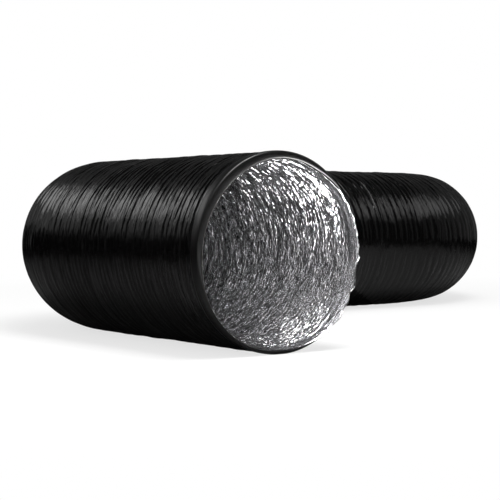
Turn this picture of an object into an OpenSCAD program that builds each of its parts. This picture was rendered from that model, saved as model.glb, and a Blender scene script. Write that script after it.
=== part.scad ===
// Flexible air duct for a 200 mm spigot, lying on a floor in an S: a near straight, a
// right-hand bend, a middle straight, a left-hand bend and a short far straight.
// It is three skins deep: a ribbed black film jacket, a spring wire wound as one
// helix, and a ridged aluminium foil liner. Two bands close its cut ends.
// The duct bends and stretches all along. Here it is divided across its length into
// stiff sections and fold sections in turn, and each has its stretch of every skin.
// Origin: centre of the near mouth. +Y runs into the duct, +Z is up, +X is to the right.

/* [Duct] */
// Outer diameter over the ribs
outer_d = 208; // [180:2:260]
// Height of a rib above the film on each side of it
rib_h = 1.4; // [0.8:0.1:2]
// Height of the crease of slack film midway between two ribs
crease_h = 0.7; // [0.4:0.1:1]
// Width of a rib at its foot
rib_w = 4.4; // [3.5:0.1:5]
// Thickness of the black film jacket
jacket_t = 0.4; // [0.3:0.1:0.5]
// Diameter of the spring wire
wire_d = 1; // [0.8:0.1:1.2]
// Thickness of the foil liner
liner_t = 0.4; // [0.3:0.1:0.6]
// Height of the ridges that the wire turns press into the liner
ridge_h = 0.6; // [0.4:0.1:1]
// Plain length at each mouth, with no ribs or wire
neck = 14; // [10:1:20]

/* [Lay] */
// Length of the near straight
near_length = 295; // [270:5:360]
// Centreline radius of the first bend
bend_1_r = 180; // [170:5:240]
// Length of the middle straight
middle_length = 380; // [340:10:480]
// Centreline radius of the second bend
bend_2_r = 215; // [200:5:260]
// Length of the far straight
far_length = 110; // [100:5:160]

/* [Ends] */
// Width of the band round each mouth
band_w = 12; // [8:1:13]
// Thickness of that band
band_t = 0.6; // [0.4:0.1:0.8]

/* [Hidden] */
$fn = 96;
// Turns of wire, and so ribs, in each leg of the lay
near_turns = 17;
bend_1_turns = 18;
middle_turns = 16;
bend_2_turns = 15;
far_turns = 4;
seam = 0.3;            // gap between two sections
fit = 0.05;            // gap between two skins that touch
glue = 0.15;           // film of glue on the liner, under the wire and the bands
slack = 0.35;          // from the wire out to the film, as its half turns stand out at the sides
floor_cut = 0.5;       // how far the ribs press flat where the duct lies
joint_gap = seam / 2;  // how far a half turn of wire stops from its joint with the next
joint_l = 2;           // length of the sleeve at that joint
joint_t = 0.08;        // how far that sleeve stands off the wire
over = 1;              // how far a shape runs past what cuts it

crest_r = outer_d / 2;
jacket_r = crest_r - rib_h;
jacket_bore_r = jacket_r - jacket_t;
wire_r = jacket_bore_r - slack - wire_d / 2;
liner_r = wire_r - wire_d / 2 - glue;
bore_r = liner_r - liner_t;

// The legs in order: start of the centreline, heading in degrees clockwise from +Y,
// bend radius (0 on a straight), side of the bend's centre (1 right, -1 left),
// advance of one turn of wire (mm, or degrees in a bend), plain length before the first
START = 0;
HEADING = 1;
RADIUS = 2;
SIDE = 3;
ADVANCE = 4;
LEAD = 5;
bend_1_end = [bend_1_r, near_length + bend_1_r];
bend_2_start = bend_1_end + [middle_length, 0];
bend_2_end = bend_2_start + [bend_2_r, bend_2_r];
legs = [
    [[0, 0], 0, 0, 0, (near_length - neck) / near_turns, neck],
    [[0, near_length], 0, bend_1_r, 1, 90 / bend_1_turns, 0],
    [bend_1_end, 90, 0, 0, middle_length / middle_turns, 0],
    [bend_2_start, 90, bend_2_r, -1, 90 / bend_2_turns, 0],
    [bend_2_end, 0, 0, 0, (far_length - neck) / far_turns, 0]
];

// The sections in order: name, leg, first turn and last turn in that leg
NAME = 0;
LEG = 1;
FIRST = 2;
LAST = 3;
sections = [
    ["near_end", 0, 0, 5],
    ["near_fold", 0, 5, 11],
    ["near_run", 0, 11, near_turns],
    ["bend_1_entry_fold", 1, 0, 5],
    ["bend_1", 1, 5, 13],
    ["bend_1_exit_fold", 1, 13, bend_1_turns],
    ["middle_a", 2, 0, 6],
    ["middle_fold", 2, 6, 10],
    ["middle_b", 2, 10, middle_turns],
    ["bend_2_entry_fold", 3, 0, 4],
    ["bend_2", 3, 4, 11],
    ["bend_2_exit_fold", 3, 11, bend_2_turns],
    ["far_end", 4, 0, far_turns]
];
near_end = 0;
far_end = len(sections) - 1;

function leg_of(s) = legs[s[LEG]];
function is_bend(s) = leg_of(s)[RADIUS] > 0;

// Where a section's film starts and ends along a straight leg
function film_from(s) =
    s == sections[near_end] ? band_t + fit : leg_of(s)[LEAD] + s[FIRST] * leg_of(s)[ADVANCE] + seam / 2;
function film_to(s) =
    s == sections[far_end] ? far_length - band_t - fit
                           : leg_of(s)[LEAD] + s[LAST] * leg_of(s)[ADVANCE] - seam / 2;
// Foil reaches the mouth itself
function foil_from(s) = s == sections[near_end] ? 0 : film_from(s);
function foil_to(s) = s == sections[far_end] ? far_length : film_to(s);
// The angle that a gap of half a seam takes on the inside of a bend
function seam_angle(leg) = asin(seam / 2 / (leg[RADIUS] - crest_r));

// Moves its children to the start of a leg, with +Y along the duct
module leg_frame(leg) {
    translate(leg[START]) rotate(-leg[HEADING]) children();
}

// Moves its children to a turn number along a leg, with +Y along the duct
module station(leg, turn) {
    leg_frame(leg)
        if (leg[RADIUS] == 0)
            translate([0, leg[LEAD] + turn * leg[ADVANCE], 0]) children();
        else
            translate([leg[SIDE] * leg[RADIUS], 0, 0])
                rotate(-leg[SIDE] * turn * leg[ADVANCE])
                    translate([-leg[SIDE] * leg[RADIUS], 0, 0]) children();
}

// Turns a profile of radius and length along the duct round the duct's centreline
module round_duct() {
    rotate([-90, 0, 0]) rotate_extrude() children();
}

// A tube along a bend, from one turn number to another, short of each by half a seam
module bent_tube(leg, inner_r, outer_r, first, last) {
    from = first * leg[ADVANCE] + seam_angle(leg);
    to = last * leg[ADVANCE] - seam_angle(leg);
    leg_frame(leg)
        translate([leg[SIDE] * leg[RADIUS], 0, 0])
            rotate(leg[SIDE] > 0 ? 180 - to : from)
                rotate_extrude(angle = to - from) translate([leg[RADIUS], 0]) difference() {
                    circle(outer_r);
                    circle(inner_r);
                }
}

// ---- Jacket: black film, with a rib over every turn of the wire ----

// Section of a ring that stands this high off the film and has its foot half way into it
module rib_profile(height) {
    foot = jacket_r - jacket_t / 2;
    shoulder = jacket_r + 0.65 * height;
    crest = jacket_r + height;
    polygon([
        [foot, -rib_w / 2], [shoulder, -0.36 * rib_w], [crest, -0.16 * rib_w],
        [crest, 0.16 * rib_w], [shoulder, 0.36 * rib_w], [foot, rib_w / 2]
    ]);
}

// A rib over a turn of wire, pressed flat at its lowest point where the duct lies
module rib() {
    width = 4 * sqrt(2 * crest_r * floor_cut);
    difference() {
        round_duct() rib_profile(rib_h);
        translate([-width / 2, -rib_w / 2, floor_cut - crest_r - over])
            cube([width, rib_w, over]);
    }
}

module film(s) {
    leg = leg_of(s);
    if (is_bend(s))
        bent_tube(leg, jacket_bore_r, jacket_r, s[FIRST], s[LAST]);
    else
        leg_frame(leg) round_duct() {
            translate([jacket_bore_r, film_from(s)]) square([jacket_t, film_to(s) - film_from(s)]);
            if (s[LAST] > s[FIRST] + 1)
                for (turn = [s[FIRST] + 1 : s[LAST] - 1])
                    translate([0, leg[LEAD] + turn * leg[ADVANCE]]) rib_profile(crease_h);
        }
}

module jacket(s) {
    color("#1b1b1c") {
        film(s);
        for (turn = [s[FIRST] : s[LAST] - 1])
            station(leg_of(s), turn + 0.5) rib();
    }
}

// ---- Wire: one spring helix, a chain of half turns that meet at the top and bottom ----

// Half a turn, drawn at the station half way along it: from the top down the right
// side (1), or from the bottom up the left side (-1). It stops a little short at both
// ends, where a thin sleeve joins it to the next.
module half_turn(leg, side) {
    bend = leg[RADIUS] > 0;
    quarter = leg[ADVANCE] / 4;
    along = bend ? leg[RADIUS] * sin(quarter) : quarter;
    across = bend ? leg[SIDE] * leg[RADIUS] * (1 - cos(quarter)) : 0;
    r = norm([wire_r, along]);
    short = asin(joint_gap / r);
    translate([across, 0, 0]) rotate([side * asin(along / r), 0, 0]) rotate([90, 0, 0])
        rotate(short - 90 * side)
            rotate_extrude(angle = 180 - 2 * short) translate([r, 0]) circle(wire_d / 2);
}

module turn_of_wire(leg, turn) {
    station(leg, turn + 0.25) half_turn(leg, 1);
    station(leg, turn + 0.75) half_turn(leg, -1);
}

module wire_sleeve(level) {
    translate([0, 0, level * wire_r]) rotate([0, 90, 0])
        cylinder(r = wire_d / 2 + joint_t, h = joint_l, center = true);
}

module wire(s) {
    leg = leg_of(s);
    color("#8d9096")
        for (turn = [s[FIRST] : s[LAST] - 1]) {
            turn_of_wire(leg, turn);
            station(leg, turn + 0.5) wire_sleeve(-1);
            if (turn > s[FIRST]) station(leg, turn) wire_sleeve(1);
        }
}

// ---- Liner: aluminium foil, ridged inwards under every turn of the wire ----

module straight_liner(s) {
    leg = leg_of(s);
    from = foil_from(s);
    to = foil_to(s);
    middle = liner_r - liner_t / 2;
    top = bore_r - ridge_h;
    leg_frame(leg) round_duct() {
        translate([bore_r, from]) square([liner_t, to - from]);
        for (turn = [s[FIRST] : s[LAST] - 1])
            translate([0, leg[LEAD] + (turn + 0.5) * leg[ADVANCE]])
                polygon([[middle, rib_w / 2], [top, rib_w / 6], [top, -rib_w / 6], [middle, -rib_w / 2]]);
    }
}

module bent_liner(s) {
    leg = leg_of(s);
    bent_tube(leg, bore_r, liner_r, s[FIRST], s[LAST]);
}

module liner(s) {
    color("#c9ccd0") if (is_bend(s)) bent_liner(s); else straight_liner(s);
}

// ---- Bands: black tape round each mouth, turned in between jacket and liner ----

// Drawn with its mouth at 0 and the duct beyond it
module band() {
    round_duct() {
        translate([jacket_r + fit, 0]) square([band_t, band_w]);
        translate([liner_r + glue, 0]) square([jacket_r + fit + band_t - liner_r - glue, band_t]);
        translate([liner_r + glue, 0]) square([jacket_bore_r - fit - liner_r - glue, neck / 2]);
    }
}

module near_band() {
    color("#161617") band();
}

module far_band() {
    color("#161617") leg_frame(legs[len(legs) - 1]) translate([0, far_length, 0]) rotate(180) band();
}

// ---- How near one turn of the wire comes to the next, on points along it ----

function wire_point(leg, turn) =
    let (
        angle = 360 * turn,
        across = wire_r * sin(angle),
        bend = leg[SIDE] * turn * leg[ADVANCE]
    )
    leg[RADIUS] == 0
        ? [across, turn * leg[ADVANCE], wire_r * cos(angle)]
        : [
            leg[SIDE] * leg[RADIUS] - (leg[SIDE] * leg[RADIUS] - across) * cos(bend),
            (leg[SIDE] * leg[RADIUS] - across) * sin(bend),
            wire_r * cos(angle)
        ];
gap_points = 24;
least_gap = min([
    for (leg = legs) for (i = [0 : gap_points - 1])
        norm(wire_point(leg, i / gap_points + 1) - wire_point(leg, i / gap_points)) - wire_d
]);
echo(least_gap_of_the_wire_to_itself = least_gap);

for (s = sections) {
    jacket(s);
    wire(s);
    liner(s);
}
near_band();
far_band();
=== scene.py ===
import bpy
import numpy as np
from math import atan2, cos, degrees, pi, radians, sin
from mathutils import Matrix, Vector


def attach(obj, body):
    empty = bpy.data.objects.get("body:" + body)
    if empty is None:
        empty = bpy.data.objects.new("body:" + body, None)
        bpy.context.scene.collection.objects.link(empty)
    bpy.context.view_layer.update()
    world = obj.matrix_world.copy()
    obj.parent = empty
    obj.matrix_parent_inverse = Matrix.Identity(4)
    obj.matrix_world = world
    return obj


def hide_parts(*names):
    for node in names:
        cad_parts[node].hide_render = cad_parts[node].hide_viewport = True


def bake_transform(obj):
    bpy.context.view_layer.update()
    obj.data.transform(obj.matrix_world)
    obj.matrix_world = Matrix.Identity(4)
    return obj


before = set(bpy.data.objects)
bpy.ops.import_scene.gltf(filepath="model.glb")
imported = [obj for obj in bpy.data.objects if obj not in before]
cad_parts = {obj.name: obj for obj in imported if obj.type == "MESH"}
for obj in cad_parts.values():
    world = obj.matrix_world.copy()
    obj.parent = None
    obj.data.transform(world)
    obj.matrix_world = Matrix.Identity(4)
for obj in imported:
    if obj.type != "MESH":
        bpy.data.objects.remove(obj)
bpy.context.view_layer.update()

MM = 0.001

# ---- Camera ----
# A 95 mm lens about 1.3 m from the near mouth, a little above the height of the duct's
# middle. It looks into the mouth, and past it to the second straight and bend.
camera_place = (-834.2 * MM, -1050.2 * MM, 41.8 * MM)
# Degrees that it looks down, and to the right of +Y
camera_down, camera_right = 1.67, 37.13
lens_mm, sensor_mm = 95.1, 36
bpy.ops.object.select_all(action="DESELECT")
bpy.ops.object.camera_add(
    location=camera_place,
    rotation=(radians(90 - camera_down), 0, radians(-camera_right)),
)
camera = bpy.context.object
camera.data.lens = lens_mm
camera.data.sensor_width = sensor_mm
bpy.context.scene.camera = camera

# ---- Jacket ----
# The outer skin is a black PVC and foil laminate, wound on the wire and glued to it. It
# stands up as a rib over every turn and hangs between in slack folds with sharp creases.
# It is one long tube: six spans of it meet in rings, each across one joint of the duct.

# The legs of the duct's middle line: length, bend radius and side (1 right, -1 left)
near_length, middle_length, far_length = 295 * MM, 380 * MM, 110 * MM
bend_1_r, bend_2_r = 180 * MM, 215 * MM
bend_1_length, bend_2_length = bend_1_r * pi / 2, bend_2_r * pi / 2
legs = [
    (near_length, 0, 0),
    (bend_1_length, bend_1_r, 1),
    (middle_length, 0, 0),
    (bend_2_length, bend_2_r, -1),
    (far_length, 0, 0),
]
leg_ends = np.cumsum([0] + [leg[0] for leg in legs])
duct_length = leg_ends[-1]
# The plain neck at each end, which holds no wire
neck = 14 * MM
# Turns of the wire helix counted from the near neck, at the distances along the duct, and
# the pitch that they have on each leg, which eases from one to the next
turn_marks = [0, neck, *leg_ends[1:5], duct_length - neck, duct_length]
turn_counts = [-0.85, 0, 17, 35, 51, 66, 70, 70.6]
pitches = np.diff(turn_marks[1:7]) / np.diff(turn_counts[1:7])
ease = 15 * MM
pitch_marks = [0, *np.repeat(leg_ends[1:5], 2) + np.tile([-ease, ease], 4), duct_length]

# The skin's radius on the ribs, at the necks, in its deepest folds, and inside
crest_r, neck_r, valley_r = 103.9 * MM, 102.4 * MM, 102.2 * MM
jacket_bore_r = 101.95 * MM
# The floor, and how low the duct's underside is pressed, just clear of it
floor_z = -103.5 * MM
lowest_z = floor_z + 0.05 * MM
jacket_cells = 240


def middle_line(along):
    """Places and headings (clockwise from +Y) of the duct's middle, this far along it. Its
    first and last leg run on past the mouths, for what stands out of them."""
    x, y, heading = np.zeros_like(along), np.zeros_like(along), np.zeros_like(along)
    leg_start = leg_heading = 0
    for leg, (length, radius, side) in enumerate(legs):
        least = -np.inf if leg == 0 else 0
        most = np.inf if leg == len(legs) - 1 else length
        done = np.clip(along - leg_start, least, most)
        turned = done / radius if radius else 0 * done
        ahead = radius * np.sin(turned) if radius else done
        aside = side * radius * (1 - np.cos(turned)) if radius else 0 * done
        x += ahead * sin(leg_heading) + aside * cos(leg_heading)
        y += ahead * cos(leg_heading) - aside * sin(leg_heading)
        heading += side * turned
        leg_heading += side * length / radius if radius else 0
        leg_start += length
    return x, y, heading


def on_duct(along, angle, radius):
    """Points at this distance along the duct, angle clockwise from its top, and radius."""
    x, y, heading = middle_line(along)
    right = radius * np.sin(angle)
    return np.stack([x + right * np.cos(heading), y - right * np.sin(heading), radius * np.cos(angle)], -1)


def scatter(rows, columns, seed):
    return np.random.default_rng(seed).uniform(-1, 1, (rows, columns))


def eased(share):
    return share * share * (3 - 2 * share)


def drift(along, angle, cell, cells_round, seed, facets=False):
    """Random heights from -1 to 1 over the skin, smooth or in facets, closed round the duct.
    Its cells have this length along the duct, and so many of them go round it."""
    rows_before, spare_rows = 10, 30
    table = scatter(int(duct_length / cell) + spare_rows, cells_round, seed)
    row, column = along / cell + rows_before, (angle / (2 * pi) % 1) * cells_round
    i, j = np.floor(row).astype(int), np.floor(column).astype(int)
    down, over = row - i, column - j
    if not facets:
        down, over = eased(down), eased(over)
    i = np.clip(i, 0, len(table) - 2)
    j, next_j = j % cells_round, (j + 1) % cells_round
    low = table[i, j] * (1 - over) + table[i, next_j] * over
    high = table[i + 1, j] * (1 - over) + table[i + 1, next_j] * over
    return low * (1 - down) + high * down


def along_helix(helix, per_turn, seed):
    """Random values from -1 to 1 that change smoothly along the helix, counted in turns."""
    turns_before, turns_kept = 4, 80
    table = scatter(1, int(turns_kept * per_turn), seed)[0]
    place = (helix + turns_before) * per_turn
    i = np.clip(np.floor(place).astype(int), 0, len(table) - 2)
    over = eased(place - i)
    return table[i] * (1 - over) + table[i + 1] * over


def helix_phase(along, angle):
    """How many turns along the helix a place is, and where it is between two turns of wire:
    from 0 in the slack on one side, through 0.5 on the wire, to 1 in the slack beyond."""
    turn = np.interp(along, turn_marks, turn_counts) - angle / (2 * pi) - 0.5
    return np.floor(turn) + angle / (2 * pi), turn - np.floor(turn)


def pitch_at(along):
    return np.interp(along, pitch_marks, np.repeat(pitches, 2))


def fold(distance, half_width):
    """A crease's depth, from 1 in its sharp bottom to 0 at its half width."""
    return np.maximum(0, 1 - np.abs(distance) / half_width) ** 1.4


# Two long creases run beside every turn of wire: each one's place as a share of the pitch,
# how far it roams, its depth and how much that varies, and its half width in mm, and its
# seed. Two short ones come and go between them, less deep where the turns lie far apart.
long_creases = [(0.27, 0.12, 1.4, 0.6, 4.0, 11), (0.76, 0.12, 1.2, 0.8, 3.6, 12)]
short_creases = [(0.02, 13), (0.5, 14)]
short_half_width = 2.4 * MM
loose_pitch, pitch_range = 20 * MM, 4 * MM
# The ribs start this far from either mouth, behind the band, and rise over this length
rib_start, rib_rise = 11 * MM, 5 * MM


def jacket_face(along, angle):
    """The jacket's outside, as distances along the duct and radii."""
    helix, phase = helix_phase(along, angle)
    pitch = pitch_at(along)
    tight = np.clip((loose_pitch - pitch) / pitch_range, 0, 1)
    warp = 0.9 * MM * drift(along, angle, 14 * MM, 13, 41) + 0.4 * MM * drift(along, angle, 6 * MM, 24, 42)
    depth = np.zeros_like(along)
    for shift in (0, -1, 1):
        turn = helix + shift
        for home, roam, base, vary, half_width, seed in long_creases:
            place = home + roam * along_helix(turn, 5, seed)
            deep = np.clip(base + vary * along_helix(turn, 4, seed + 20), 0.15, 2) * MM
            depth += deep * fold((phase - shift - place) * pitch + warp, half_width * MM)
        for home, seed in short_creases:
            place = home + 0.18 * along_helix(turn, 4, seed)
            deep = np.clip(1.2 * along_helix(turn, 6, seed + 20), 0, 1) * (0.25 + 0.75 * tight) * MM
            depth += deep * fold((phase - shift - place) * pitch + warp, short_half_width)
    # Fine creases wander round the skin, and the lands between them lean this way and that,
    # dented on the small scale and sagging on the large one
    fine = np.clip(1 - np.abs(drift(along + warp, angle, 4.5 * MM, 9, 43)) / 0.45, 0, 1)
    lean = 0.5 + 0.5 * drift(along + warp, angle, 5.5 * MM, 14, 46, facets=True)
    dents = 0.5 + 0.5 * drift(along + warp, angle, 4 * MM, 26, 44)
    sag = 0.5 + 0.5 * drift(along, angle, 13 * MM, 9, 45)
    depth += (0.2 * fine + 0.4 * lean + 0.6 * dents + 0.7 * sag) * MM
    ribbed = np.clip((np.minimum(along, duct_length - along) - rib_start) / rib_rise, 0, 1)
    radius = neck_r + (crest_r - depth - neck_r) * ribbed
    return along, np.maximum(radius, valley_r)


def jacket_back(along, angle):
    return along, np.full_like(along, jacket_bore_r)


def skin_rings(start, end, step):
    """Distances along a span for its rings, the same at a shared end for both spans."""
    return np.linspace(start, end, max(2, round((end - start) / step)) + 1)


def lay_pattern(piece, along, angle):
    """Stores each point's place on the duct as if it lay straight, for the materials."""
    straight_r = 0.1
    straight = np.stack([straight_r * np.sin(angle), straight_r * np.cos(angle), along], -1)
    place = piece.data.attributes.new("straight", "FLOAT_VECTOR", "POINT")
    place.data.foreach_set("vector", straight.astype(np.float32).ravel())


def ringed_tube(name, along, angle, radius):
    """A closed tube made from a torus. Its points are laid on the duct at these distances
    along it, angles and radii, with a row for every step round the duct."""
    cells_round, rings = along.shape
    bpy.ops.object.select_all(action="DESELECT")
    bpy.ops.mesh.primitive_torus_add(
        major_segments=cells_round,
        minor_segments=rings,
        major_radius=2 * crest_r,
        minor_radius=crest_r,
    )
    tube = bpy.context.object
    tube.name = tube.data.name = name
    points = on_duct(along, angle, radius)
    points[..., 2] = np.maximum(points[..., 2], lowest_z)
    tube.data.vertices.foreach_set("co", points.astype(np.float32).ravel())
    lay_pattern(tube, along, angle)
    tube.data.update()
    return tube


def thin_skin(name, face_rings, face, back_rings, back, cells_round):
    """A tube with a thin wall: first the rings of its modelled face, and then back along the
    plain hidden one. Face and back are functions such as jacket_face."""
    angle = np.arange(cells_round)[:, None] * 2 * pi / cells_round
    face_along, face_radius = face(*np.broadcast_arrays(face_rings[None, :], angle))
    back_along, back_radius = back(*np.broadcast_arrays(back_rings[None, ::-1], angle))
    along = np.concatenate([face_along, back_along], 1)
    radius = np.concatenate([face_radius, back_radius], 1)
    return ringed_tube(name, along, np.broadcast_to(angle, along.shape), radius)


def face_out(piece):
    bpy.ops.object.select_all(action="DESELECT")
    piece.select_set(True)
    bpy.context.view_layer.objects.active = piece
    bpy.ops.object.mode_set(mode="EDIT")
    bpy.ops.mesh.select_all(action="SELECT")
    bpy.ops.mesh.normals_make_consistent(inside=False)
    bpy.ops.object.mode_set(mode="OBJECT")
    bpy.ops.object.shade_smooth()


def add_node(tree, kind, inputs=(), **settings):
    """A shader node with its settings, and its inputs set to values or linked to sockets."""
    made = tree.nodes.new(kind)
    for name, value in settings.items():
        setattr(made, name, value)
    for name, value in dict(inputs).items():
        if isinstance(value, bpy.types.NodeSocket):
            tree.links.new(value, made.inputs[name])
        else:
            made.inputs[name].default_value = value
    return made


def colour(code):
    """The linear colour of an sRGB hex code."""
    parts = [int(code[i : i + 2], 16) / 255 for i in (1, 3, 5)]
    return [c / 12.92 if c <= 0.04045 else ((c + 0.055) / 1.055) ** 2.4 for c in parts] + [1]


def new_material(name):
    material = bpy.data.materials.new(name)
    material.use_nodes = True
    material.node_tree.nodes.clear()
    return material


def per_mm(across, along):
    """Scale of a pattern on the straightened duct: its grain round the duct and along it."""
    return (1 / (across * MM), 1 / (across * MM), 1 / (along * MM))


# PVC and foil laminate film, rolled smooth and then pleated: a dark semi-gloss that breaks
# up along fine wrinkles round the duct. Its net of scrim is too fine to show.
def black_laminate():
    material = new_material("black_laminate")
    tree = material.node_tree
    place = add_node(tree, "ShaderNodeAttribute", attribute_name="straight")
    lines = add_node(
        tree, "ShaderNodeMapping", {"Vector": place.outputs["Vector"], "Scale": per_mm(40, 3.4)}
    )
    line_noise = add_node(
        tree,
        "ShaderNodeTexNoise",
        {"Vector": lines.outputs["Vector"], "Scale": 1, "Detail": 2, "Roughness": 0.5, "Distortion": 0.3},
    )
    crumple = add_node(
        tree, "ShaderNodeMapping", {"Vector": place.outputs["Vector"], "Scale": per_mm(18, 5)}
    )
    crumple_noise = add_node(
        tree,
        "ShaderNodeTexNoise",
        {"Vector": crumple.outputs["Vector"], "Scale": 1, "Detail": 2, "Roughness": 0.5},
    )
    wrinkle_bump = add_node(
        tree,
        "ShaderNodeBump",
        {"Height": line_noise.outputs["Fac"], "Strength": 0.6, "Distance": 0.8 * MM},
    )
    crumple_bump = add_node(
        tree,
        "ShaderNodeBump",
        {
            "Height": crumple_noise.outputs["Fac"],
            "Strength": 0.7,
            "Distance": 1.3 * MM,
            "Normal": wrinkle_bump.outputs["Normal"],
        },
    )
    gloss = add_node(
        tree, "ShaderNodeMapRange", {"Value": crumple_noise.outputs["Fac"], "To Min": 0.1, "To Max": 0.24}
    )
    tint = add_node(tree, "ShaderNodeValToRGB", {"Fac": line_noise.outputs["Fac"]})
    tint.color_ramp.elements[0].color = colour("#030303")
    tint.color_ramp.elements[1].color = colour("#080808")
    shader = add_node(
        tree,
        "ShaderNodeBsdfPrincipled",
        {
            "Base Color": tint.outputs["Color"],
            "Roughness": gloss.outputs["Result"],
            "IOR": 1.5,
            "Normal": crumple_bump.outputs["Normal"],
        },
    )
    add_node(tree, "ShaderNodeOutputMaterial", {"Surface": shader.outputs["BSDF"]})
    return material


# The ends of the spans along the duct: one is in the near straight, two are in the middles
# of the bends, and two are in the middle straight, on either side of its fold
near_join, fold_join = 219 * MM, 76 * MM
joins = [
    0,
    near_join,
    leg_ends[1] + bend_1_length / 2,
    leg_ends[2] + fold_join,
    leg_ends[3] - fold_join,
    leg_ends[3] + bend_2_length / 2,
    duct_length,
]
# The middle straight lies at this Y and the far one at this X, in mm
middle_y, far_x = 475, 775
# The spans: the two bodies each one crosses, and the places in mm between which it gives
spans = [
    ("near", "near_end", "near_run", (0, 20, 0), (0, 215, 0)),
    ("bend_1_entry", "near_run", "bend_1", (0, 219, 0), (0, 345, 0)),
    ("bend_1_exit", "bend_1", "middle_a", (130, middle_y, 0), (256, middle_y, 0)),
    ("middle", "middle_a", "middle_b", (262, middle_y, 0), (478, middle_y, 0)),
    ("bend_2_entry", "middle_b", "bend_2", (485, middle_y, 0), (635, middle_y, 0)),
    ("bend_2_exit", "bend_2", "far_end", (far_x, 615, 0), (far_x, 765, 0)),
]
# The model's sections that each span stands for
span_sections = {
    "near": ["near_end", "near_fold"],
    "bend_1_entry": ["near_run", "bend_1_entry_fold", "bend_1"],
    "bend_1_exit": ["bend_1_exit_fold", "middle_a"],
    "middle": ["middle_fold"],
    "bend_2_entry": ["middle_b", "bend_2_entry_fold", "bend_2"],
    "bend_2_exit": ["bend_2_exit_fold", "far_end"],
}


def cross_joint(piece, skin, span):
    """The piece is baked in place, and stands for its sections of one skin, which are hidden."""
    name, before, after, start, end = span
    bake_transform(piece)
    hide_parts(*[f"{skin}_{section}" for section in span_sections[name]])


# The jacket stops this far short of each end, inside the band's fold
jacket_short = 0.5 * MM
film = black_laminate()
for span, start, end in zip(spans, joins, joins[1:]):
    start, end = max(start, jacket_short), min(end, duct_length - jacket_short)
    piece = thin_skin(
        f"jacket_{span[0]}_span",
        skin_rings(start, end, 1.2 * MM),
        jacket_face,
        skin_rings(start, end, 20 * MM),
        jacket_back,
        jacket_cells,
    )
    face_out(piece)
    piece.data.materials.append(film)
    cross_joint(piece, "jacket", span)

# ---- Wire ----
# The spring wire is drawn steel, 1 mm thick, wound as one helix from neck to neck and glued
# between the two skins. It keeps the duct round and holds it where it is bent.
wire_r, wire_thick = 101.35 * MM, 1 * MM
steps_per_turn = 48


# Drawn spring steel: a dull grey metal, streaked by the die. The real streaks are finer, and
# are drawn here at about a millimetre.
def spring_steel():
    material = new_material("drawn_spring_steel")
    tree = material.node_tree
    place = add_node(tree, "ShaderNodeTexCoord")
    streaks = add_node(
        tree,
        "ShaderNodeTexNoise",
        {"Vector": place.outputs["Object"], "Scale": 0.9 / MM, "Detail": 2},
    )
    gloss = add_node(
        tree, "ShaderNodeMapRange", {"Value": streaks.outputs["Fac"], "To Min": 0.25, "To Max": 0.45}
    )
    shader = add_node(
        tree,
        "ShaderNodeBsdfPrincipled",
        {"Base Color": colour("#8d9096"), "Metallic": 1, "Roughness": gloss.outputs["Result"]},
    )
    add_node(tree, "ShaderNodeOutputMaterial", {"Surface": shader.outputs["BSDF"]})
    return material


def wound_wire(name, start, end):
    """The stretch of the helix between two distances along the duct, as a bevelled curve."""
    first, last = np.interp([start, end], turn_marks, turn_counts)
    turn = np.linspace(first, last, round((last - first) * steps_per_turn) + 1)
    points = on_duct(np.interp(turn, turn_counts, turn_marks), 2 * pi * turn, wire_r)
    curve = bpy.data.curves.new(name, "CURVE")
    curve.dimensions = "3D"
    spline = curve.splines.new("POLY")
    spline.points.add(len(points) - 1)
    spline.points.foreach_set("co", np.pad(points, ((0, 0), (0, 1)), constant_values=1).ravel())
    curve.bevel_depth = wire_thick / 2
    curve.bevel_resolution = 1
    curve.use_fill_caps = True
    wire = bpy.data.objects.new(name, curve)
    bpy.context.collection.objects.link(wire)
    bpy.ops.object.select_all(action="DESELECT")
    wire.select_set(True)
    bpy.context.view_layer.objects.active = wire
    bpy.ops.object.convert(target="MESH")
    bpy.ops.object.shade_smooth()
    return bpy.context.object


steel = spring_steel()
for span, start, end in zip(spans, joins, joins[1:]):
    piece = wound_wire(f"wire_{span[0]}_span", max(start, neck), min(end, duct_length - neck))
    piece.data.materials.append(steel)
    cross_joint(piece, "wire", span)

# ---- Liner ----
# The inner skin is thin aluminium foil, crumpled by the slack of the compressed duct. The
# wire presses a ridge into it at every turn, and its cut edge at the mouth is left ragged.
foil_back_r, foil_r = 100.7 * MM, 100.2 * MM
liner_cells = 256
# How far the band's lip turns in over the mouth, at angles clockwise from the top. The foil
# starts inside the lip, and where there is no lip it stands out past the rim and rolls over.
lip_marks = np.radians([0, 30, 50, 70, 150, 180, 225, 250, 270, 300, 330])
lip_widths = np.array([7.5, 6, 1.5, 0, 0, 3.5, 0.8, 3, 6, 9, 10]) * MM
# The foil is drawn to its cut edge over this depth of the mouth, and the edge has this
# radius at most. Under a lip of at least the covering width it starts inside the mouth, and
# with none it hangs out by the overhang less that. It is ragged by this much either way.
edge_depth, edge_r = 20 * MM, 101.6 * MM
covering_width, start_inside, overhang, ragged_by = 2 * MM, 1 * MM, 4.5 * MM, 1.5 * MM


def lip_width(angle):
    return np.interp(angle, lip_marks, lip_widths, period=2 * pi)


def from_mouth(along):
    """Distance from the nearer mouth, and the direction along the duct away from it."""
    near = along < duct_length / 2
    return np.where(near, along, duct_length - along), np.where(near, 1, -1)


def to_edge(along, angle, radius):
    """Draws the foil towards its cut edge at the mouth, inside the lip or over the rim."""
    inside, onward = from_mouth(along)
    width = lip_width(angle)
    near_edge = np.clip(1 - inside / edge_depth, 0, 1) ** 2
    bare = np.clip(1 - width / covering_width, 0, 1)
    ragged = ragged_by * drift(0 * along, angle, 9 * MM, 100, 55, facets=True)
    shift = (start_inside - overhang * bare + ragged * (0.4 + bare)) * near_edge
    radius = radius + (np.minimum(neck_r - width, edge_r) - radius) * near_edge
    rolled = np.maximum(0, 0.4 * MM - inside - shift)
    return along + onward * shift, radius + 0.3 * rolled * bare


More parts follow.
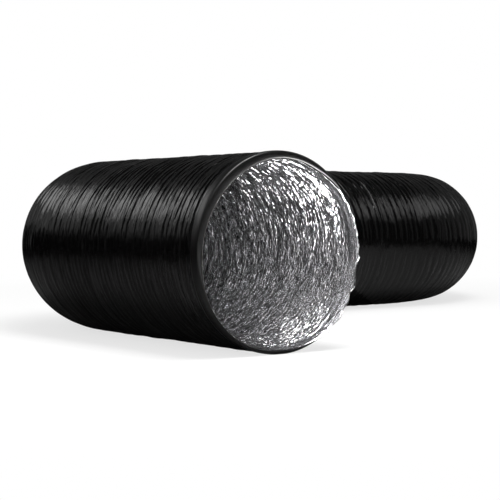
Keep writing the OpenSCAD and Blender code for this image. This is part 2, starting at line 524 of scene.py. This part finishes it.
# The foil's ridge over the wire: its height and half width. Its slack fold's half width, the
# pitch of its pleats, and the depth and pitch of the long folds by the rim.
ridge_high, ridge_half_width = 1.3 * MM, 2.6 * MM
slack_half_width = 5.5 * MM
pleat_pitch = 4.4 * MM
rim_fold_deep, rim_fold_pitch = 1.5 * MM, 5.5 * MM
# The long folds keep to this depth of the mouth and are gone this much further in
rim_depth, rim_fade = 8 * MM, 9 * MM


def liner_face(along, angle):
    """The liner's inside, as distances along the duct and radii."""
    helix, phase = helix_phase(along, angle)
    pitch = pitch_at(along)
    warp = 1.0 * MM * drift(along, angle, 12 * MM, 30, 51)
    from_wire = (phase - 0.5) * pitch + warp
    over_wire = np.maximum(0, 1 - np.abs(from_wire) / ridge_half_width)
    ridge = ridge_high * over_wire**1.5
    # The slack between two turns hangs inwards in a low fold that leans towards one of them
    crest = 0.1 * along_helix(helix, 7, 56) + 0.1 * along_helix(helix + 1, 7, 56)
    from_crest = np.minimum(np.abs(phase - crest), np.abs(1 + crest - phase)) * pitch + warp
    deep = 0.6 + 0.5 * drift(along, angle, 8 * MM, 34, 57)
    slack = deep * MM * np.maximum(0, 1 - np.abs(from_crest) / slack_half_width)
    # Sharp little pleats run round the skin everywhere, waving and running into each other
    wave = along / pleat_pitch + 0.55 * drift(along, angle, 6 * MM, 56, 58)
    pleats = np.abs(2 * (wave - np.floor(wave)) - 1) * (1 + 0.6 * drift(along, angle, 5 * MM, 44, 60))
    # Small facets break them up, and large ones lie over them
    small = 1 + drift(along, angle, 1.9 * MM, 150, 54, facets=True)
    large = np.abs(drift(along + warp, angle, 8 * MM, 60, 52, facets=True))
    # By the mouth the foil is drawn tighter, into a few long folds along the rim
    inside, _ = from_mouth(along)
    by_rim = np.clip(1 - (inside - rim_depth) / rim_fade, 0, 1)
    rim_fold = 0.5 + 0.5 * np.sin(2 * pi * (inside + 1.6 * warp) / rim_fold_pitch)
    rim_fold *= (0.7 + 0.3 * drift(along, angle, 12 * MM, 20, 59)) * np.clip(inside / (5 * MM), 0.1, 1)
    crumple = (2.2 * pleats + 0.3 * small + 0.5 * large) * (1 - 0.8 * by_rim) * (1 - 0.5 * over_wire)
    along, radius = to_edge(along, angle, foil_r - ridge - slack - crumple * MM)
    return along, radius - rim_fold_deep * rim_fold * by_rim


def liner_back(along, angle):
    return to_edge(along, angle, np.full_like(along, foil_back_r))


# Aluminium foil, rolled bright and then crumpled by hand: short sharp creases, which flash
# where they face a lamp and are dark where they face into the duct. It is smoother where it
# is drawn tight by either mouth.
def crinkled_foil():
    material = new_material("crinkled_aluminium_foil")
    tree = material.node_tree
    place = add_node(tree, "ShaderNodeAttribute", attribute_name="straight")
    parts = add_node(tree, "ShaderNodeSeparateXYZ", {"Vector": place.outputs["Vector"]})
    inside = add_node(
        tree, "ShaderNodeMath", {0: parts.outputs["Z"], 1: duct_length / 2}, operation="PINGPONG"
    )
    crumpled = add_node(
        tree,
        "ShaderNodeMapRange",
        {
            "Value": inside.outputs[0],
            "From Min": 7 * MM,
            "From Max": 18 * MM,
            "To Min": 0.25,
            "To Max": 0.8,
        },
    )
    normal = None
    # Two sizes of crease, in mm: round the duct, along it, and deep
    for across, along, deep in ((11, 2.4, 1.1), (5, 1.7, 0.7)):
        spread = add_node(
            tree, "ShaderNodeMapping", {"Vector": place.outputs["Vector"], "Scale": per_mm(across, along)}
        )
        creases = add_node(
            tree,
            "ShaderNodeTexVoronoi",
            {"Vector": spread.outputs["Vector"], "Scale": 1},
            feature="F1",
            distance="MANHATTAN",
        )
        bump = {
            "Height": creases.outputs["Distance"],
            "Strength": crumpled.outputs["Result"],
            "Distance": deep * MM,
        }
        if normal:
            bump["Normal"] = normal
        normal = add_node(tree, "ShaderNodeBump", bump).outputs["Normal"]
    shader = add_node(
        tree,
        "ShaderNodeBsdfPrincipled",
        {"Base Color": colour("#cacacc"), "Metallic": 1, "Roughness": 0.25, "Normal": normal},
    )
    add_node(tree, "ShaderNodeOutputMaterial", {"Surface": shader.outputs["BSDF"]})
    return material


foil = crinkled_foil()
for span, start, end in zip(spans, joins, joins[1:]):
    # The rings lie closest where the mouth shows them
    step = 1.2 * MM if span[0] == "near" else 1.6 * MM
    piece = thin_skin(
        f"liner_{span[0]}_span",
        skin_rings(start, end, step),
        liner_face,
        skin_rings(start, end, 4 * MM),
        liner_back,
        liner_cells,
    )
    face_out(piece)
    piece.data.materials.append(foil)
    cross_joint(piece, "liner", span)

# ---- Bands ----
# A turn of black film tape closes each cut end. It holds the jacket over the last of the
# wire, rolls over the rim and is turned in over the mouth, more on one side than the other.

# The band's section, in mm: distances from the mouth and radii, from its outside edge round
# to the one inside. On the lip, a share of its width counted inwards from the rim stands
# for the radius.
band_outside = [
    (13, 102.5),
    (12.6, 103.1),
    (10, 103.7),
    (6, 103.95),
    (2.5, 103.9),
    (0.4, 103.7),
    (-0.7, 103.2),
]
band_lip = [(-1.3, 0.2), (-1.5, 0.5), (-1.1, 0.8), (0, 1), (1.3, 0.97), (2.2, 0.8)]
band_inside = [(3, 102.45), (13, 102.45)]
rim_r, least_lip = 102.9 * MM, 0.45 * MM


def band_shape(angle):
    """The closed section of the band at each angle: distances from the mouth, and radii."""
    width = np.maximum(lip_width(angle), least_lip)
    wave = 0.25 * MM * drift(0 * angle, angle, 9 * MM, 14, 61)
    inside, radius = [], []
    for distance, ring_r in band_outside:
        inside.append(distance * MM + wave)
        radius.append(ring_r * MM + 0 * angle)
    for distance, share in band_lip:
        inside.append(distance * MM + wave)
        radius.append(rim_r - share * width + 0.4 * wave)
    for distance, ring_r in band_inside:
        inside.append(distance * MM + 0 * angle)
        radius.append(ring_r * MM + 0 * angle)
    return np.stack(inside, 1), np.stack(radius, 1)


def mouth_band(name, mouth, onward):
    """The band at this distance along the duct, where onward is the way into it."""
    angle = np.arange(jacket_cells) * 2 * pi / jacket_cells
    inside, radius = band_shape(angle)
    along = mouth + onward * inside
    band = ringed_tube(name, along, np.broadcast_to(angle[:, None], along.shape), radius)
    smooth = band.modifiers.new("rounded section", "SUBSURF")
    smooth.levels = smooth.render_levels = 1
    bpy.ops.object.modifier_apply(modifier=smooth.name)
    return band


# PE film tape, pulled tight while it is wound: smoother than the jacket, with long shallow
# lines round the mouth.
def film_tape():
    material = new_material("black_film_tape")
    tree = material.node_tree
    place = add_node(tree, "ShaderNodeAttribute", attribute_name="straight")
    lines = add_node(
        tree, "ShaderNodeMapping", {"Vector": place.outputs["Vector"], "Scale": per_mm(60, 2.5)}
    )
    noise = add_node(
        tree, "ShaderNodeTexNoise", {"Vector": lines.outputs["Vector"], "Scale": 1, "Detail": 3}
    )
    bump = add_node(
        tree,
        "ShaderNodeBump",
        {"Height": noise.outputs["Fac"], "Strength": 0.4, "Distance": 0.5 * MM},
    )
    gloss = add_node(
        tree, "ShaderNodeMapRange", {"Value": noise.outputs["Fac"], "To Min": 0.28, "To Max": 0.4}
    )
    shader = add_node(
        tree,
        "ShaderNodeBsdfPrincipled",
        {
            "Base Color": colour("#050505"),
            "Roughness": gloss.outputs["Result"],
            "IOR": 1.5,
            "Normal": bump.outputs["Normal"],
        },
    )
    add_node(tree, "ShaderNodeOutputMaterial", {"Surface": shader.outputs["BSDF"]})
    return material


tape = film_tape()
for name, mouth, onward, body in (
    ("near_band", 0, 1, "near_end"),
    ("far_band", duct_length, -1, "far_end"),
):
    band = mouth_band(name + "_tape", mouth, onward)
    face_out(band)
    band.data.materials.append(tape)
    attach(band, body)
    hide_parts(name)

# ---- Floor and light ----
# A pale floor and a white surround under soft studio light. A drum of dark cloth stands out
# of view all round the duct, so that its gloss shows the cloth and not the surround. It is
# open above on the near mouth's side, and lamps on the floor light the foil in both mouths.

# The floor's paint shows round the duct's middle, and is gone at the second distance
duct_middle = (0.39, 0.40, floor_z)
paint_near, paint_far = 0.45, 1.2
floor_r = 14


def seen_directly(tree):
    """1 for what the camera, a mirror or a window sees, and 0 for light on a surface."""
    path = add_node(tree, "ShaderNodeLightPath")
    shown = path.outputs["Is Camera Ray"]
    for ray in ("Is Glossy Ray", "Is Transmission Ray"):
        shown = add_node(
            tree, "ShaderNodeMath", {0: shown, 1: path.outputs[ray]}, operation="MAXIMUM"
        ).outputs[0]
    return shown


def distance_from(tree, centre):
    """How far a surface is from this place."""
    place = add_node(tree, "ShaderNodeTexCoord")
    off = add_node(
        tree, "ShaderNodeVectorMath", {0: place.outputs["Object"], 1: centre}, operation="DISTANCE"
    )
    return off.outputs["Value"]


# Matt white paint, which fades into the surround away from the duct
def pale_floor():
    material = new_material("pale_floor_paint")
    tree = material.node_tree
    faded = add_node(
        tree,
        "ShaderNodeMapRange",
        {
            "Value": distance_from(tree, duct_middle),
            "From Min": paint_near,
            "From Max": paint_far,
            "To Min": 0.72,
            "To Max": 1,
        },
        interpolation_type="SMOOTHSTEP",
    )
    share = add_node(
        tree, "ShaderNodeMath", {0: faded.outputs["Result"], 1: seen_directly(tree)}, operation="MULTIPLY"
    )
    paint = add_node(tree, "ShaderNodeBsdfDiffuse", {"Color": colour("#f2f2f2")})
    white = add_node(tree, "ShaderNodeEmission", {"Color": colour("#ffffff"), "Strength": 1})
    mix = add_node(
        tree,
        "ShaderNodeMixShader",
        {0: share.outputs[0], 1: paint.outputs["BSDF"], 2: white.outputs["Emission"]},
    )
    add_node(tree, "ShaderNodeOutputMaterial", {"Surface": mix.outputs["Shader"]})
    return material


bpy.ops.object.select_all(action="DESELECT")
bpy.ops.mesh.primitive_circle_add(
    vertices=64, radius=floor_r, fill_type="NGON", location=duct_middle
)
floor = bpy.context.object
floor.name = "studio_floor"
bpy.ops.object.transform_apply(location=True)
floor.data.materials.append(pale_floor())


def softbox(name, place, aim, width, height, power, beam=180):
    """An area lamp, where a beam under 180 degrees is that of a honeycomb grid on it."""
    bpy.ops.object.light_add(type="AREA", location=place)
    lamp = bpy.context.object
    lamp.name = name
    lamp.data.shape = "RECTANGLE"
    lamp.data.size, lamp.data.size_y = width, height
    lamp.data.energy = power
    lamp.data.spread = radians(beam)
    lamp.rotation_euler = (Vector(aim) - Vector(place)).to_track_quat("-Z", "Y").to_euler()
    lamp.visible_camera = False


# Four large ones for the jacket and the floor, and five for the foil
softbox("top_softbox", (0.2, 0.0, 2.4), (0.3, 0.3, 0), 1.4, 1.4, 20)
softbox("back_left_softbox", (-0.95, 2.3, 1.25), (-0.1, 0.2, 0), 1.6, 0.6, 4.5)
softbox("back_left_fill", (-1.0, 2.4, 1.2), (-0.1, 0.2, 0), 2.0, 1.7, 2.4)
softbox("right_softbox", (2.3, -0.45, 1.35), (0.5, 0.47, 0), 1.6, 0.8, 3)
softbox("front_softbox", (-0.75, -0.5, 0.03), (0, 0, 0), 0.75, 0.25, 1)
softbox("high_front_softbox", (0.08, -0.4, 1.3), (0, 0.02, -0.08), 0.6, 0.6, 15)
softbox("low_front_softbox", (-0.03, -0.44, -0.1), (-0.03, -0.4, 0.3), 0.7, 0.76, 3)
softbox("mouth_softbox", (0.08, -0.13, -0.102), (0.08, -0.12, 0.3), 0.28, 0.2, 4.2, beam=140)
softbox("low_far_softbox", (0.8, 0.96, -0.102), (0.8, 0.95, 0.3), 0.28, 0.2, 1.5, beam=140)

# A pool of light is painted on the felt under the duct: palest round this place, and darkest at the second
# distance
felt_light_pool_middle = (0.15, 0.3, floor_z)
felt_near, felt_far = 0.3, 1.2


# Velvet, felt and backdrop cloth: matt, and plain but for the felt, which has a painted pool of light that
# darkens outwards
def matt_cloth(name, shade, faded=None):
    material = new_material(name)
    tree = material.node_tree
    shader = add_node(tree, "ShaderNodeBsdfDiffuse", {"Color": colour(shade)})
    if faded:
        # The painted pool of light: the felt's own shade by the duct, fading outwards to the darker one
        far = add_node(
            tree,
            "ShaderNodeMapRange",
            {"Value": distance_from(tree, felt_light_pool_middle), "From Min": felt_near, "From Max": felt_far},
        )
        tint = add_node(tree, "ShaderNodeValToRGB", {"Fac": far.outputs["Result"]})
        tint.color_ramp.elements[0].color = colour(shade)
        tint.color_ramp.elements[1].color = colour(faded)
        tree.links.new(tint.outputs["Color"], shader.inputs["Color"])
    add_node(tree, "ShaderNodeOutputMaterial", {"Surface": shader.outputs["BSDF"]})
    return material


cloths = [
    matt_cloth("black_velvet", "#050505"),
    matt_cloth("dark_felt", "#505050", "#101010"),
    matt_cloth("grey_backdrop", "#5c5c5c"),
    matt_cloth("grey_felt", "#909090", "#101010"),
]
black_velvet, dark_felt, grey_backdrop, grey_felt = range(len(cloths))
# Which way, in degrees clockwise from +Y: the top is open, the wall has a grey backdrop,
# beyond the duct and to its left, and the felt on the floor is grey. The rest of the top and
# of the wall is black velvet, and the rest of the floor has dark felt.
open_top = [(168, 288)]
backdrop_ways = [(-1, 122), (250, 300)]
grey_felt_ways = [(50, 95), (240, 300)]
drum_r, drum_high, above_floor = 4, 4, 0.2 * MM


def lies_in(way, sectors):
    return any(start < way < end for start, end in sectors)


bpy.ops.object.select_all(action="DESELECT")
bpy.ops.mesh.primitive_cylinder_add(
    vertices=72,
    radius=drum_r,
    depth=drum_high,
    end_fill_type="TRIFAN",
    location=(0, 0, floor_z + drum_high / 2 + above_floor),
)
flags = bpy.context.object
flags.name = "black_flags"
bpy.ops.object.transform_apply(location=True)
for cloth in cloths:
    flags.data.materials.append(cloth)
bpy.ops.object.mode_set(mode="EDIT")
bpy.ops.mesh.select_all(action="DESELECT")
bpy.ops.object.mode_set(mode="OBJECT")
for face in flags.data.polygons:
    way = degrees(atan2(face.center.x, face.center.y)) % 360
    upright = abs(face.normal.z) < 0.5
    if face.center.z < 0:
        face.material_index = grey_felt if lies_in(way, grey_felt_ways) else dark_felt
    elif upright:
        face.material_index = grey_backdrop if lies_in(way, backdrop_ways) else black_velvet
    else:
        face.select = lies_in(way, open_top)
bpy.ops.object.mode_set(mode="EDIT")
bpy.ops.mesh.delete(type="FACE")
bpy.ops.object.mode_set(mode="OBJECT")
flags.visible_camera = flags.visible_diffuse = flags.visible_shadow = False

world = bpy.data.worlds.new("white_surround")
bpy.context.scene.world = world
world.use_nodes = True
tree = world.node_tree
tree.nodes.clear()
glow = add_node(tree, "ShaderNodeBackground", {"Color": colour("#ffffff"), "Strength": 0.5})
white = add_node(tree, "ShaderNodeBackground", {"Color": colour("#ffffff"), "Strength": 1})
mix = add_node(
    tree,
    "ShaderNodeMixShader",
    {0: seen_directly(tree), 1: glow.outputs["Background"], 2: white.outputs["Background"]},
)
add_node(tree, "ShaderNodeOutputWorld", {"Surface": mix.outputs["Shader"]})
bpy.context.scene.view_settings.view_transform = "Standard"
